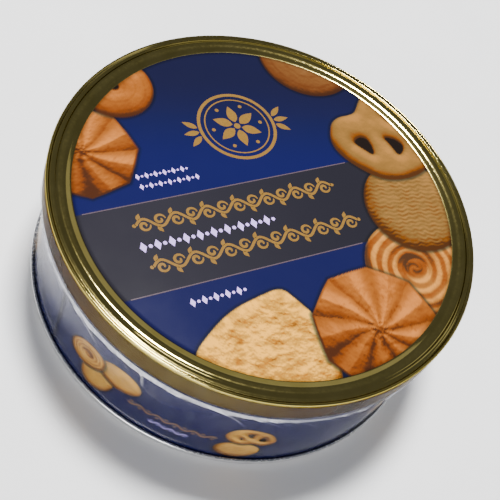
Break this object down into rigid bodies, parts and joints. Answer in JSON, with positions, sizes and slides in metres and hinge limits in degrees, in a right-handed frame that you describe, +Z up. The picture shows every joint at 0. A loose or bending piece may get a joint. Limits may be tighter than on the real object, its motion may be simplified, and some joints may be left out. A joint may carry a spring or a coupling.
{
  "type": "cookie tin",
  "caption": "Round slip-lid cookie tin: gold lid, printed wall, rolled base seam and clear seal band, filled with butter cookies stacked in pleated paper cups.",
  "frame": {"origin": "centre of the round base, on the surface that the tin stands on", "axes": "+Z up along the tin's axis; the printed band across the lid runs along +X, and +Y is the top of the print"},
  "size_m": [0.131, 0.131, 0.044],
  "materials": {
    "gold_lacquer": "satin",
    "navy_print": "gloss",
    "bare_tinplate": "satin",
    "clear_film": "gloss",
    "cup_paper": "matte",
    "baked_dough": "matte"
  },
  "bodies": {
    "tin": {"body_wall": "navy_print", "base_plate": "bare_tinplate", "seal_band": "clear_film"},
    "lid": {"lid": "gold_lacquer"},
    "pretzel_stack": {"pretzel_cup": "cup_paper", "pretzel_1": "baked_dough", "pretzel_2": "baked_dough", "pretzel_3": "baked_dough", "pretzel_4": "baked_dough"},
    "swirl_ring_stack": {"swirl_ring_cup": "cup_paper", "swirl_ring_1": "baked_dough", "swirl_ring_2": "baked_dough", "swirl_ring_3": "baked_dough", "swirl_ring_4": "baked_dough"},
    "ribbed_round_stack": {"ribbed_round_cup": "cup_paper", "ribbed_round_1": "baked_dough", "ribbed_round_2": "baked_dough", "ribbed_round_3": "baked_dough", "ribbed_round_4": "baked_dough"},
    "star_rosette_stack": {"star_rosette_cup": "cup_paper", "star_rosette_1": "baked_dough", "star_rosette_2": "baked_dough", "star_rosette_3": "baked_dough", "star_rosette_4": "baked_dough"}
  },
  "joints": [
    {"name": "lid_lift", "type": "slide", "parent": "tin", "child": "lid", "axis": [0, 0, 1], "range_m": [0, 0.06]},
    {"name": "pretzel_lift", "type": "slide", "parent": "tin", "child": "pretzel_stack", "axis": [0, 0, 1], "range_m": [0, 0.0055]},
    {"name": "swirl_ring_lift", "type": "slide", "parent": "tin", "child": "swirl_ring_stack", "axis": [0, 0, 1], "range_m": [0, 0.0055]},
    {"name": "ribbed_round_lift", "type": "slide", "parent": "tin", "child": "ribbed_round_stack", "axis": [0, 0, 1], "range_m": [0, 0.0055]},
    {"name": "star_rosette_lift", "type": "slide", "parent": "tin", "child": "star_rosette_stack", "axis": [0, 0, 1], "range_m": [0, 0.0055]}
  ]
}
